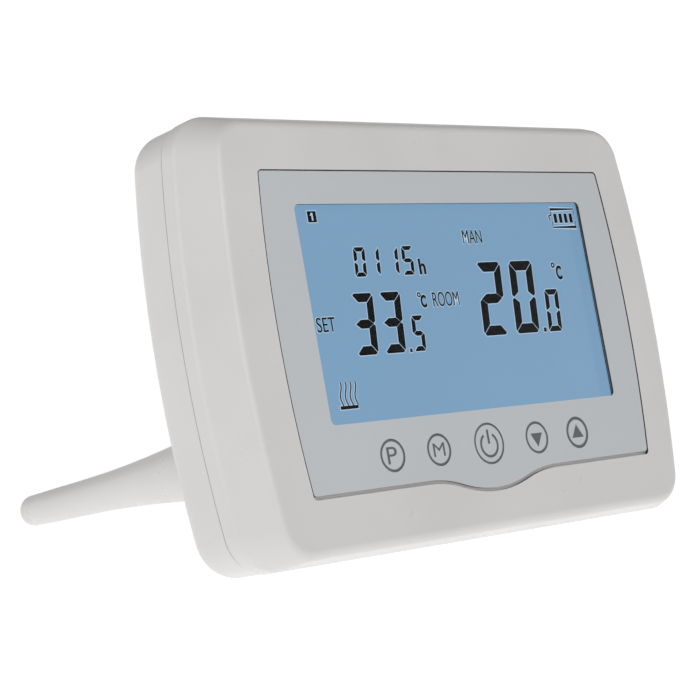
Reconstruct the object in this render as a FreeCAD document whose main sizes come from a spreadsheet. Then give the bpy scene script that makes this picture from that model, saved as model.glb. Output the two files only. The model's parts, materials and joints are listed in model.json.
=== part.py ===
import FreeCAD, Part
import math
import os
import re

import Sketcher

# A battery-powered room thermostat on a desk stand.
#
# Every sub-part is drawn in the housing's own frame, in millimetres: X to the right seen from the front,
# Y from the front rim (0) towards the back, Z up along the panel, with the origin at the panel's centre.
# At the end each sub-part gets the same Placement, which leans the housing back on its lower edge and its
# two legs, and puts the origin under the middle of the whole object, on the table, with Z upwards.

SIZES = [
    # Outlines: each is a rectangle with straight top and bottom, bowed sides and round corners.
    ("lean", 14.35, "degrees the panel leans back"),
    ("side_curve", 280.0, "radius of the bowed sides"),
    ("rim_side", 9.17, "rim beside the faceplate, at mid height"),
    ("rim_over", 10.1, "rim above the faceplate"),
    ("rim_under", 11.7, "rim below the faceplate"),
    ("rim_corner", 7.0, "front rim, corner radius"),
    ("bevel_side", 6.4, "how far the housing spreads past the rim at the sides"),
    ("bevel_over", 2.6, "how far the housing spreads past the rim at the top"),
    ("bevel_under", 1.25, "how far the housing spreads past the rim at the bottom"),
    ("body_corner", 9.0, "housing, corner radius"),
    ("shoulder", 6.86, "depth of the bevel between rim and side"),
    ("ridge_round", 1.8, "rounding of the rim's and the shoulder's ridges"),
    ("seam", 10.6, "depth of the parting line between the covers"),
    ("seam_step", 0.25, "how far the front cover stands out past the rear cover"),
    ("groove_wide", 0.5, "shadow groove along the parting line"),
    ("groove_deep", 0.4, "depth of the shadow groove"),
    ("rear_round", 4.9, "rounding of the rear edge"),
    ("wall", 2.2, "wall of both covers"),
    ("front_wall", 2.4, "front wall, from the rim to its inner face"),
    ("lip_thick", 1.2, "locating lip of the rear cover"),
    ("lip_gap", 0.15, "clearance of the lip inside the front cover"),
    ("lip_out", 1.2, "how far the lip stands forward of the seam"),
    ("lip_root", 2.4, "how far the lip runs back along the rear cover's wall"),
    # Faceplate, its recess and the display window
    ("plate_side", 9.4, "faceplate beside the display window, at mid height"),
    ("plate_tall", 32.3, "faceplate, half height beside the wave"),
    ("plate_corner", 0.7, "faceplate, corner radius"),
    ("plate_thick", 0.5, "faceplate"),
    ("plate_sunk", 0.1, "how far the faceplate lies behind the rim's plane"),
    ("plate_gap", 0.28, "gap beside and above the faceplate"),
    ("plate_gap_low", 0.75, "gap below the faceplate"),
    ("wave_half", 19.0, "half width of the wave in the lower edge"),
    ("wave_drop", 3.2, "depth of the wave"),
    ("tape_thick", 0.2, "tape behind the faceplate"),
    ("tape_inset", 1.0, "tape edge inside the faceplate edge"),
    ("tape_key_gap", 0.5, "tape edge outside the faceplate's key holes"),
    ("window_half", 42.4, "display window, half width"),
    ("window_top", 25.5, "display window, top above the centre"),
    ("window_bottom", 19.0, "display window, bottom below the centre"),
    ("window_corner", 1.2, "display window, corner radius"),
    ("lens_margin", 1.0, "how far the lens runs behind the faceplate"),
    ("lens_gap", 0.2, "gap between the lens and the front cover"),
    ("lens_thick", 2.0, "clear lens"),
    # Keys
    ("inner_pitch", 14.75, "centre of the mode and down keys from the power key"),
    ("outer_pitch", 27.8, "centre of the program and up keys from the power key"),
    ("key_space", 0.42, "space between the display glass and the power key's flange"),
    ("small_key", 3.3, "program and mode keys, radius"),
    ("arrow_key", 3.4, "down and up keys, radius"),
    ("power_key", 4.32, "power key, radius"),
    ("key_gap", 0.08, "running clearance round a key"),
    ("key_flange", 0.7, "how far a key's flange reaches past its cap"),
    ("flange_thick", 0.8, "key flange"),
    ("key_rest", 0.05, "gap between a key's flange and the front wall"),
    ("key_crown", 0.15, "bevelled edge of a key's cap"),
    ("key_travel", 0.3, "how far a key goes in"),
    ("stem_radius", 1.5, "key stem"),
    # Display stack
    ("gasket_thick", 0.4, "foam gasket"),
    ("lcd_side", 2.6, "display glass past the window at the sides"),
    ("lcd_over", 2.5, "display glass past the window at the top"),
    ("lcd_under", 1.8, "display glass past the window at the bottom"),
    ("lcd_thick", 2.2, "display glass"),
    ("guide_thick", 2.4, "light guide"),
    ("strip_thick", 2.0, "rubber contact strip"),
    ("strip_half", 38.0, "rubber contact strip, half length"),
    ("strip_inset", 0.4, "contact strip inside the glass's lower edge"),
    ("holder_wall", 1.0, "display holder's side walls"),
    ("holder_gap", 0.1, "gap between the display stack and its holder"),
    ("holder_start", 3.9, "depth where the display holder starts"),
    ("led_wide", 3.0, "backlight LED along the guide"),
    ("led_thick", 1.0, "backlight LED off the guide's edge"),
    ("led_pitch", 24.0, "backlight LEDs, centre to centre"),
    # Main board and switches
    ("board_face", 8.1, "depth of the main board's front face"),
    ("board_thick", 1.6, "main board"),
    ("board_side", 3.0, "main board past the display glass at the sides"),
    ("board_edge", 2.2, "main board past its screws"),
    ("board_clear", 1.0, "gap between the main board and the cover screws' bosses"),
    ("switch_wide", 6.0, "key switch, square"),
    ("switch_tall", 3.3, "key switch body off the board"),
    ("plunger_radius", 1.45, "switch plunger"),
    ("plunger_out", 0.9, "plunger outside the switch body"),
    ("plunger_in", 0.8, "plunger inside the switch body"),
    ("switch_spare", 0.3, "depth of the plunger's well past its travel"),
    ("board_screw_x", 44.5, "board screws from the centre line"),
    ("boss_space", 0.3, "gap between the display holder and the upper board screws' bosses"),
    ("board_screw_low", 32.3, "lower board screws below the centre"),
    ("board_boss", 2.0, "board screw boss, radius"),
    ("boss_root", 0.5, "how far a boss is rooted in the front wall"),
    ("end_spare", 0.3, "space past the end of a screw or a plug"),
    ("board_screw", 0.95, "board screw thread, radius"),
    ("board_head", 1.8, "board screw head, radius"),
    ("board_head_tall", 1.2, "board screw head"),
    ("board_screw_long", 4.5, "board screw thread below the board"),
    # Cover screws
    ("post_inset", 10.4, "cover screws from the housing's top and bottom"),
    ("boss_radius", 3.0, "front cover's screw boss"),
    ("post_radius", 3.8, "rear cover's screw post"),
    ("cover_screw", 1.3, "cover screw thread, radius"),
    ("cover_head", 2.5, "cover screw head, radius"),
    ("cover_head_tall", 1.8, "cover screw head"),
    ("cover_screw_long", 8.5, "cover screw, head to point"),
    ("head_seat", 13.0, "depth of the seat under the cover screw heads"),
    ("head_gap", 0.3, "clearance round a cover screw head"),
    ("thread_gap", 0.03, "clearance of a thread in its pilot hole"),
    ("shank_gap", 0.2, "clearance of a screw in a plain hole"),
    # Battery bay, for two AAA cells side by side
    ("cell_radius", 5.25, "AAA cell"),
    ("cell_long", 44.5, "AAA cell with its cap"),
    ("nub_radius", 1.9, "positive cap of a cell, radius"),
    ("nub_long", 0.8, "positive cap of a cell"),
    ("cell_gap", 0.4, "space beside and between the cells"),
    ("spring_long", 6.1, "room for a battery spring"),
    ("contact_thick", 0.3, "battery contact plate"),
    ("bay_centre", 12.0, "centre of the battery bay above the panel's centre"),
    ("bay_wall", 1.2, "battery bay wall and the ledge under the door"),
    ("bay_floor", 0.9, "battery bay floor"),
    ("bay_clear", 0.4, "gap between the main board and the battery bay"),
    ("door_thick", 1.6, "battery door"),
    ("door_gap", 0.2, "gap round the battery door"),
    ("door_clear", 0.4, "space between the door and the cells"),
    ("hook_half", 3.0, "door hook, half width"),
    ("hook_x", 16.0, "door hooks from the centre line"),
    ("hook_reach", 1.3, "door hook past the door's edge"),
    ("hook_thick", 0.9, "door hook"),
    ("hook_drop", 1.2, "door hook's neck below the door"),
    ("notch_gap", 0.3, "space beside and in front of a hook in its notch"),
    ("hook_gap", 0.3, "space between a hook and the rim that it holds"),
    ("nail_radius", 7.0, "finger scoop above the door"),
    ("nail_deep", 1.0, "depth of the finger scoop"),
    ("spring_wire", 0.35, "battery spring wire, radius"),
    ("spring_radius", 2.6, "battery spring, radius at the middle of the wire"),
    ("spring_turns", 4.0, "battery spring"),
    # Legs
    ("leg_inset", 2.0, "legs from the cover screws, towards the centre line"),
    ("leg_low", 21.4, "legs below the panel centre"),
    ("leg_root", 8.0, "leg radius at the rear face"),
    ("leg_waist", 3.95, "leg radius where the flare ends"),
    ("leg_flare", 51.5, "length of the flare"),
    ("leg_tip", 3.55, "leg radius at its end"),
    ("leg_round", 2.6, "rounding of the leg's end"),
    ("spigot_radius", 3.6, "leg's plug"),
    ("spigot_long", 10.0, "leg's plug"),
    ("spigot_gap", 0.05, "running clearance of the plug"),
    ("leg_seat", 0.05, "gap between the leg's shoulder and the rear face"),
    ("socket_wall", 1.6, "wall of the leg's socket"),
    ("socket_floor", 1.2, "floor of the leg's socket"),
    # Wall fixing and vents
    ("wall_pitch", 60.0, "keyholes, centre to centre"),
    ("keyhole_z", 31.0, "keyhole entries above the panel centre"),
    ("head_hole", 3.8, "keyhole entry, radius"),
    ("neck_hole", 2.1, "keyhole slot, half width"),
    ("neck_rise", 6.0, "keyhole slot's end above the entry's centre"),
    ("vent_count", 7.0, "vent slots in each of the top and bottom walls"),
    ("vent_pitch", 4.5, "vent slots, centre to centre"),
    ("vent_wide", 1.6, "vent slot"),
    ("vent_front", 12.6, "depth where the vents start"),
    ("vent_back", 17.4, "depth where the vents end"),
]

# Sizes that follow from those in the sheet, in its words. bind() puts them in wherever they are used.
DERIVED = {
    # Outlines, from the display window outwards
    "plate_half": "window_half + plate_side",
    "rim_half": "plate_half + rim_side",
    "body_half": "rim_half + bevel_side",
    "rim_top": "plate_tall + rim_over",
    "rim_bottom": "plate_tall + rim_under",
    "body_top": "rim_top + bevel_over",
    "body_low": "rim_bottom + bevel_under",
    "rear_half": "body_half - seam_step",
    "rear_top": "body_top - seam_step",
    "rear_low": "body_low - seam_step",
    "rear_corner": "body_corner - seam_step",
    # The faceplate and the display stack, from the front backwards
    "recess_deep": "plate_sunk + plate_thick + tape_thick",
    "plate_back": "plate_sunk + plate_thick",
    "lcd_face": "front_wall + gasket_thick",
    "lcd_back": "lcd_face + lcd_thick",
    "guide_back": "lcd_back + guide_thick",
    "lcd_half": "window_half + lcd_side",
    "lcd_top": "window_top + lcd_over",
    "lcd_low": "0 - window_bottom - lcd_under",
    "strip_low": "lcd_low + strip_inset",
    "key_low": "window_bottom + lcd_under + key_space + key_flange + power_key",
    # The main board and its screws
    "board_half": "lcd_half + board_side",
    "board_back": "board_face + board_thick",
    "board_screw_top": "lcd_top + holder_gap + holder_wall + boss_space + board_boss",
    "board_top": "board_screw_top + board_edge",
    "board_bottom": "board_screw_low + board_edge",
    "switch_face": "board_face - switch_tall",
    "plunger_tip": "switch_face - plunger_out",
    "cover_screw_x": "board_half + board_clear + boss_radius",
    "cover_screw_z": "body_top - post_inset",
    # The battery bay, from the board backwards to the rear face
    "bay_deep": "board_back + bay_clear + bay_floor",
    "cell_deep": "bay_deep + cell_radius",
    "door_face": "cell_deep + cell_radius + door_clear",
    "body_depth": "door_face + door_thick",
    "bay_half_wide": "(cell_long + spring_long + 2 * contact_thick) / 2",
    "bay_half_tall": "2 * cell_radius + 1.5 * cell_gap",
    "opening_half_wide": "bay_half_wide + bay_wall",
    "opening_half_tall": "bay_half_tall + bay_wall",
    "cell_off": "cell_radius + cell_gap / 2",
    "hook_deep": "body_depth - wall - hook_gap - hook_thick",
    # The legs stand beside the board; both reach down to the level of the housing's lowest line
    "leg_x": "cover_screw_x - leg_inset",
    "table_level": "(body_depth - rear_round) * sin(lean) + (rear_low - rear_round) * cos(lean) + rear_round",
    "tip_drop": "leg_round + (leg_low + leg_tip - leg_round) * cos(lean)",
    "leg_long": "(table_level - tip_drop) / sin(lean) + leg_round - body_depth - leg_seat",
}

FUNCTIONS = ("sqrt", "sin", "cos")
VECTOR = FreeCAD.Vector
BACKWARD = FreeCAD.Rotation(VECTOR(1, 0, 0), -90)  # turns a shape's own +Z to the housing's +Y
UPRIGHT = FreeCAD.Rotation(VECTOR(1, 0, 0), 90)  # turns a sketch's x and y to the housing's X and Z
PLACED_WHOLE = ("Part::Cut", "Part::MultiFuse", "Part::Compound", "PartDesign::Body")

doc = FreeCAD.newDocument("thermostat")
sheet = doc.addObject("Spreadsheet::Sheet", "Sizes")
for row, (alias, number, note) in enumerate(SIZES, start=1):
    sheet.set(f"A{row}", alias)
    sheet.set(f"B{row}", str(number))
    sheet.set(f"C{row}", note)
    sheet.setAlias(f"B{row}", alias)
doc.recompute()

subparts = {}


# --- small tools: sizes, primitives, booleans and sketches bound to the sheet ---


def bind(words):
    """An expression in the sheet's own words and the derived ones, as another object has to write it."""

    def spell_out(found):
        word = found.group(0)
        if word in DERIVED:
            return "(" + bind(DERIVED[word]) + ")"
        return word if word in FUNCTIONS else "Sizes." + word

    return re.sub(r"[a-z_]{2,}", spell_out, words)


def size(words):
    """The number that an expression in the sheet's words gives."""
    return float(sheet.evalExpression(bind(words)))


def place(item, corner):
    for axis, words in zip("xyz", corner):
        item.setExpression("Placement.Base." + axis, bind(words))
    return item


def box(name, corner, extent):
    item = doc.addObject("Part::Box", name)
    for side, words in zip(("Length", "Width", "Height"), extent):
        item.setExpression(side, bind(words))
    return place(item, corner)


def centred_box(name, middle, extent):
    """A box whose middle in X and Z and whose front in Y are given."""
    x, y, z = middle
    wide, deep, tall = extent
    return box(name, (f"({x}) - ({wide}) / 2", y, f"({z}) - ({tall}) / 2"), extent)


def rod(name, start, radius, length):
    """A cylinder that runs backwards along +Y from its start point."""
    item = doc.addObject("Part::Cylinder", name)
    item.Placement.Rotation = BACKWARD
    item.setExpression("Radius", bind(radius))
    item.setExpression("Height", bind(length))
    return place(item, start)


def fuse(name, shapes):
    item = doc.addObject("Part::MultiFuse", name)
    item.Shapes = shapes
    item.Refine = True
    return item


def group(name, shapes):
    """Separate solids that share one node."""
    item = doc.addObject("Part::Compound", name)
    item.Links = shapes
    return item


def cut(name, base, tools):
    item = doc.addObject("Part::Cut", name)
    item.Base = base
    item.Tool = tools[0] if len(tools) == 1 else fuse(name + "_tools", tools)
    return item


def extrude(name, sketch, length):
    item = doc.addObject("Part::Extrusion", name)
    item.Base = sketch
    item.DirMode = "Custom"
    item.Dir = VECTOR(0, 1, 0)
    item.Solid = True
    item.setExpression("LengthFwd", bind(length))
    return item


def loft(name, sections):
    item = doc.addObject("Part::Loft", name)
    item.Sections = sections
    item.Solid = True
    item.Ruled = True
    return item


def fillet(name, base, radius, depth):
    """Rounds every edge of base that lies at one depth."""
    doc.recompute()
    item = doc.addObject("Part::Fillet", name)
    item.Base = base
    level = size(depth)
    edges = []
    for number, edge in enumerate(base.Shape.Edges, start=1):
        bounds = edge.BoundBox
        if abs(bounds.YMin - level) < 0.01 and abs(bounds.YMax - level) < 0.01:
            edges.append((number, size(radius), size(radius)))
    item.Edges = edges
    return item


def keep(name, item, x="0", y="0", z="0"):
    """Names a finished sub-part and notes where its own origin lies in the housing's frame.

    A lone primitive's own Placement says where it lies in the housing, so it gets a wrapper to place.
    """
    if item.TypeId not in PLACED_WHOLE:
        item.Label = name + "_solid"
        item = group(name + "_whole", [item])
    item.Label = name
    subparts[name] = (item, VECTOR(size(x), size(y), size(z)))
    return item


def new_sketch(name, depth):
    sketch = doc.addObject("Sketcher::SketchObject", name)
    sketch.Placement.Rotation = UPRIGHT
    sketch.setExpression("Placement.Base.y", bind(depth))
    return sketch


def dimension(sketch, kind, parts, words):
    number = sketch.addConstraint(Sketcher.Constraint(kind, *parts, size(words)))
    sketch.setExpression(f"Constraints[{number}]", bind(words))


def arc(sketch, centre, radius, start, end):
    """An anticlockwise arc from the start angle to the end angle, in degrees."""
    circle = Part.Circle(VECTOR(*centre, 0), VECTOR(0, 0, 1), radius)
    return sketch.addGeometry(Part.ArcOfCircle(circle, math.radians(start), math.radians(end)))


def line(sketch, start, end):
    return sketch.addGeometry(Part.LineSegment(VECTOR(*start, 0), VECTOR(*end, 0)))


def join_smoothly(sketch, chain):
    """Joins each item's end to the next one's start. Each link is (item, its start, its end)."""
    for here, after in zip(chain, chain[1:] + chain[:1]):
        sketch.addConstraint(Sketcher.Constraint("Tangent", here[0], here[2], after[0], after[1]))


def bowed_outline(name, depth, half, top, bottom, corner, wave_inset=None):
    """A rectangle with bowed sides and round corners, and on request a wave in its lower edge.

    The chain runs clockwise from the top left, as arcs drawn anticlockwise are followed backwards.
    """
    sketch = new_sketch(name, depth)
    bow, round_ = size("side_curve"), size(corner)
    reach = bow - size(half)  # distance of a side arc's centre past the centre line
    upper, lower = size(top), -size(bottom)

    def corner_of(level):
        height = abs(level) - round_
        across = math.sqrt((bow - round_) ** 2 - height**2) - reach
        return across, math.degrees(math.asin(height / (bow - round_)))

    top_x, top_tilt = corner_of(upper)
    low_x, low_tilt = corner_of(lower)
    top_line = line(sketch, (-top_x, upper), (top_x, upper))
    top_right = arc(sketch, (top_x, upper - round_), round_, top_tilt, 90)
    right = arc(sketch, (-reach, 0), bow, -low_tilt, top_tilt)
    low_right = arc(sketch, (low_x, lower + round_), round_, -90, -low_tilt)
    chain = [(top_line, 1, 2), (top_right, 2, 1), (right, 2, 1), (low_right, 2, 1)]
    if wave_inset is None:
        low_line = line(sketch, (low_x, lower), (-low_x, lower))
        chain += [(low_line, 1, 2)]
        flats = [low_line]
    else:
        flats, wave = wave_edge(sketch, low_x, lower, wave_inset)
        chain += wave
    low_left = arc(sketch, (-low_x, lower + round_), round_, 180 + low_tilt, 270)
    left = arc(sketch, (reach, 0), bow, 180 - top_tilt, 180 + low_tilt)
    top_left = arc(sketch, (-top_x, upper - round_), round_, 90, 180 - top_tilt)
    chain += [(low_left, 2, 1), (left, 2, 1), (top_left, 2, 1)]
    join_smoothly(sketch, chain)

    for flat in [top_line] + flats:
        sketch.addConstraint(Sketcher.Constraint("Horizontal", flat))
    for side in (left, right):
        sketch.addConstraint(Sketcher.Constraint("PointOnObject", side, 3, -1))
    for round_arc in (low_right, low_left, top_left):
        sketch.addConstraint(Sketcher.Constraint("Equal", top_right, round_arc))
    dimension(sketch, "Radius", (top_right,), corner)
    dimension(sketch, "Radius", (right,), "side_curve")
    sketch.addConstraint(Sketcher.Constraint("Equal", right, left))
    dimension(sketch, "DistanceX", (right, 3, -1, 1), f"side_curve - ({half})")
    dimension(sketch, "DistanceX", (-1, 1, left, 3), f"side_curve - ({half})")
    dimension(sketch, "DistanceY", (-1, 1, top_line, 1), top)
    for flat in flats:
        dimension(sketch, "DistanceY", (flat, 1, -1, 1), bottom)
    return sketch


def wave_edge(sketch, low_x, lower, inset):
    """The lower edge from right to left: flat, shoulder, dip, shoulder, flat, all of one radius.

    The dip's radius shrinks and the shoulders' grows by the inset, so that two waves stay parallel.
    """
    half, drop = size("wave_half"), size("wave_drop")
    mean = (half**2 + drop**2) / (4 * drop)
    shift = size(inset)
    outer, dip_radius = mean - shift, mean + shift
    turn = math.degrees(math.asin(half / (2 * mean)))
    dip_centre = lower + shift - drop + mean
    right_flat = line(sketch, (low_x, lower), (half, lower))
    right_arc = arc(sketch, (half, lower - outer), outer, 90, 90 + turn)
    dip = arc(sketch, (0, dip_centre), dip_radius, 270 - turn, 270 + turn)
    left_arc = arc(sketch, (-half, lower - outer), outer, 90 - turn, 90)
    left_flat = line(sketch, (-half, lower), (-low_x, lower))
    wave = "(wave_half * wave_half + wave_drop * wave_drop) / (4 * wave_drop)"
    dimension(sketch, "Radius", (right_arc,), f"{wave} - ({inset})")
    dimension(sketch, "Radius", (dip,), f"{wave} + ({inset})")
    sketch.addConstraint(Sketcher.Constraint("Equal", right_arc, left_arc))
    sketch.addConstraint(Sketcher.Constraint("PointOnObject", dip, 3, -2))
    dimension(sketch, "DistanceX", (-1, 1, right_arc, 3), "wave_half")
    links = [(right_flat, 1, 2), (right_arc, 1, 2), (dip, 2, 1), (left_arc, 1, 2), (left_flat, 1, 2)]
    return [right_flat, left_flat], links


def pin_point(sketch, item, end, along, up):
    """Fixes one end of an item by its two distances from the sketch's origin."""
    for kind, words, axis in (("DistanceX", along, -2), ("DistanceY", up, -1)):
        number = size(words)
        if abs(number) < 1e-9:
            sketch.addConstraint(Sketcher.Constraint("PointOnObject", item, end, axis))
        elif number > 0:
            dimension(sketch, kind, (-1, 1, item, end), words)
        else:
            dimension(sketch, kind, (item, end, -1, 1), f"-({words})")


def turned_body(name):
    """A PartDesign body with a sketch whose x runs along the body's Y, its turning axis."""
    body = doc.addObject("PartDesign::Body", name)
    sketch = body.newObject("Sketcher::SketchObject", name + "_profile")
    plane = next(item for item in body.Origin.OriginFeatures if item.Role == "YZ_Plane")
    sketch.AttachmentSupport = [(plane, "")]
    sketch.MapMode = "FlatFace"
    return body, sketch


def revolve(body, sketch):
    feature = body.newObject("PartDesign::Revolution", body.Name + "_turned")
    feature.Profile = sketch
    feature.ReferenceAxis = (sketch, ["H_Axis"])
    feature.Angle = 360
    sketch.Visibility = False
    return body


def turned(name, profile):
    """A solid of revolution about Y through a closed profile of (depth, radius) corners."""
    body, sketch = turned_body(name)
    corners = [(size(depth), size(radius)) for depth, radius in profile]
    edges = [line(sketch, *pair) for pair in zip(corners, corners[1:] + corners[:1])]
    for here, after in zip(edges, edges[1:] + edges[:1]):
        sketch.addConstraint(Sketcher.Constraint("Coincident", here, 2, after, 1))
    for edge, (depth, radius) in zip(edges, profile):
        pin_point(sketch, edge, 1, depth, radius)
    return revolve(body, sketch)


def bar(name, start, radius, length):
    """A cylinder that runs to the right along +X from its start point."""
    item = doc.addObject("Part::Cylinder", name)
    item.Placement.Rotation = FreeCAD.Rotation(VECTOR(0, 1, 0), 90)
    item.setExpression("Radius", bind(radius))
    item.setExpression("Height", bind(length))
    return place(item, start)


def coil(name, start, radius, wire, length, turns):
    """A wire coil that runs to the right along +X; its wire lies inside the given length."""
    helix = doc.addObject("Part::Helix", name + "_path")
    helix.setExpression("Radius", bind(radius))
    helix.setExpression("Height", bind(f"({length}) - 2 * ({wire})"))
    helix.setExpression("Pitch", bind(f"(({length}) - 2 * ({wire})) / ({turns})"))
    helix.SegmentLength = 1  # one edge for each turn
    section = doc.addObject("Part::Circle", name + "_wire")
    section.setExpression("Radius", bind(wire))
    section.Placement.Rotation = UPRIGHT
    section.setExpression("Placement.Base.x", bind(radius))
    doc.recompute()
    item = doc.addObject("Part::Sweep", name)
    item.Sections = [section]
    item.Spine = (helix, [f"Edge{turn + 1}" for turn in range(len(helix.Shape.Edges))])
    item.Solid = True
    item.Frenet = True
    item.Placement.Rotation = FreeCAD.Rotation(VECTOR(0, 1, 0), 90)
    x, y, z = start
    return place(item, (f"({x}) + ({wire})", y, z))


# --- places and levels that several sub-parts share ---

KEYS = {
    "program": ("-outer_pitch", "small_key"),
    "mode": ("-inner_pitch", "small_key"),
    "power": ("0", "power_key"),
    "down": ("inner_pitch", "arrow_key"),
    "up": ("outer_pitch", "arrow_key"),
}
SIDES = {"left": "-1", "right": "1"}
CORNERS = [("-1", "1"), ("1", "1"), ("-1", "-1"), ("1", "-1")]


def window(name, depth, grow, thick):
    """A block over the display window, grown by a margin all round."""
    return box(
        name,
        (f"-window_half - ({grow})", depth, f"-window_bottom - ({grow})"),
        (f"2 * (window_half + ({grow}))", thick, f"window_top + window_bottom + 2 * ({grow})"),
    )


def rounded_window(name, depth, thick):
    """The faceplate's window, with its round corners."""
    doc.recompute()
    block = window(name + "_block", depth, "0", thick)
    doc.recompute()
    item = doc.addObject("Part::Fillet", name)
    item.Base = block
    radius = size("window_corner")
    edges = enumerate(block.Shape.Edges, start=1)
    item.Edges = [(number, radius, radius) for number, edge in edges if edge.BoundBox.YLength > 0.1]
    return item


# --- covers ---


def make_front_cover():
    rim = bowed_outline("rim_line", "0", "rim_half", "rim_top", "rim_bottom", "rim_corner")
    levels = ("shoulder", "seam")
    outer = [
        bowed_outline("outer_" + level, level, "body_half", "body_top", "body_low", "body_corner")
        for level in levels
    ]
    solid = loft("front_solid", [rim] + outer)
    solid = fillet("front_rim_round", solid, "ridge_round", "0")
    solid = fillet("front_shoulder_round", solid, "ridge_round", "shoulder")
    inner = [
        bowed_outline(
            "inner_rim", "front_wall", "rim_half - wall", "rim_top - wall", "rim_bottom - wall",
            "rim_corner - wall / 2",
        )
    ]
    inner += [
        bowed_outline(
            "inner_" + level, level, "body_half - wall", "body_top - wall", "body_low - wall",
            "body_corner - wall",
        )
        for level in levels
    ]
    shell = cut("front_shell", solid, [loft("front_hollow", inner)])

    bosses = []
    for number, (across, up) in enumerate(CORNERS):
        bosses.append(
            rod(
                f"cover_boss_{number}",
                (f"{across} * cover_screw_x", "front_wall - boss_root", f"{up} * cover_screw_z"),
                "boss_radius", "seam - front_wall + boss_root",
            )
        )
        bosses.append(
            rod(
                f"board_boss_{number}",
                (f"{across} * board_screw_x", "front_wall - boss_root", board_screw_height(up)),
                "board_boss", "board_face - front_wall + boss_root",
            )
        )
    block = fuse("front_block", [shell] + bosses)

    recess = bowed_outline(
        "recess_line", "-1", "plate_half + plate_gap", "plate_tall + plate_gap",
        "plate_tall + plate_gap_low", "plate_corner + plate_gap", "plate_gap_low",
    )
    tools = [extrude("recess", recess, "recess_deep + 1")]
    tools.append(window("lens_opening", "-1", "lens_margin + lens_gap", "front_wall + 2"))
    for key, (across, radius) in KEYS.items():
        tools.append(
            rod(f"key_hole_{key}", (across, "-1", "-key_low"), f"{radius} + key_gap", "front_wall + 2")
        )
    for number, (across, up) in enumerate(CORNERS):
        tools.append(
            rod(
                f"cover_pilot_{number}",
                (
                    f"{across} * cover_screw_x", "head_seat - cover_screw_long - end_spare",
                    f"{up} * cover_screw_z",
                ),
                "cover_screw + thread_gap", "seam - head_seat + cover_screw_long + 1",
            )
        )
        tools.append(
            rod(
                f"board_pilot_{number}",
                (
                    f"{across} * board_screw_x", "board_face - board_screw_long - end_spare",
                    board_screw_height(up),
                ),
                "board_screw + thread_gap", "board_screw_long + 1",
            )
        )
    return keep("front_cover", cut("front_cover", block, tools))


def board_screw_height(up):
    return "board_screw_top" if up == "1" else "-board_screw_low"


def make_rear_cover():
    outline = bowed_outline("rear_line", "seam", "rear_half", "rear_top", "rear_low", "rear_corner")
    solid = fillet(
        "rear_rounded", extrude("rear_solid", outline, "body_depth - seam"), "rear_round", "body_depth"
    )
    hollow_line = bowed_outline(
        "rear_hollow_line", "seam", "rear_half - wall", "rear_top - wall",
        "rear_low - wall", "rear_corner - wall",
    )
    hollow = fillet(
        "rear_hollow_rounded", extrude("rear_hollow", hollow_line, "body_depth - seam - wall"),
        "rear_round - wall", "body_depth - wall",
    )
    groove_line = bowed_outline(
        "groove_line", "seam", "rear_half - groove_deep", "rear_top - groove_deep",
        "rear_low - groove_deep", "rear_corner - groove_deep",
    )
    beyond = bowed_outline(
        "beyond_line", "seam - 1", "rear_half + 1", "rear_top + 1", "rear_low + 1", "rear_corner + 1"
    )
    groove = cut(
        "groove", extrude("groove_outer", beyond, "groove_wide + 1"),
        [extrude("groove_core", groove_line, "groove_wide")],
    )
    shell = cut("rear_shell", solid, [hollow, groove])

    lip_outer = bowed_outline(
        "lip_outer_line", "seam - lip_out", "body_half - wall - lip_gap", "body_top - wall - lip_gap",
        "body_low - wall - lip_gap", "body_corner - wall - lip_gap",
    )
    lip_inner = bowed_outline(
        "lip_inner_line", "seam - lip_out - 1", "body_half - wall - lip_gap - lip_thick",
        "body_top - wall - lip_gap - lip_thick", "body_low - wall - lip_gap - lip_thick",
        "body_corner - wall - lip_gap - lip_thick",
    )
    lip = cut(
        "lip", extrude("lip_outer", lip_outer, "lip_out + lip_root"),
        [extrude("lip_inner", lip_inner, "lip_out + lip_root + 2")],
    )

    added = [shell, lip]
    added.append(
        box(
            "bay_block",
            ("-opening_half_wide", "bay_deep - bay_floor", "bay_centre - opening_half_tall"),
            ("2 * opening_half_wide", "door_face - bay_deep + bay_floor", "2 * opening_half_tall"),
        )
    )
    for number, (across, up) in enumerate(CORNERS):
        added.append(
            rod(
                f"cover_post_{number}", (f"{across} * cover_screw_x", "seam", f"{up} * cover_screw_z"),
                "post_radius", "body_depth - seam - 1",
            )
        )
    for side, sign in SIDES.items():
        added.append(
            rod(
                f"socket_{side}", (f"{sign} * leg_x", "body_depth - spigot_long - socket_floor", "-leg_low"),
                "spigot_radius + spigot_gap + socket_wall", "spigot_long + socket_floor - 1",
            )
        )
    return keep("rear_cover", cut("rear_cover", fuse("rear_block", added), rear_tools()))


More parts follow.
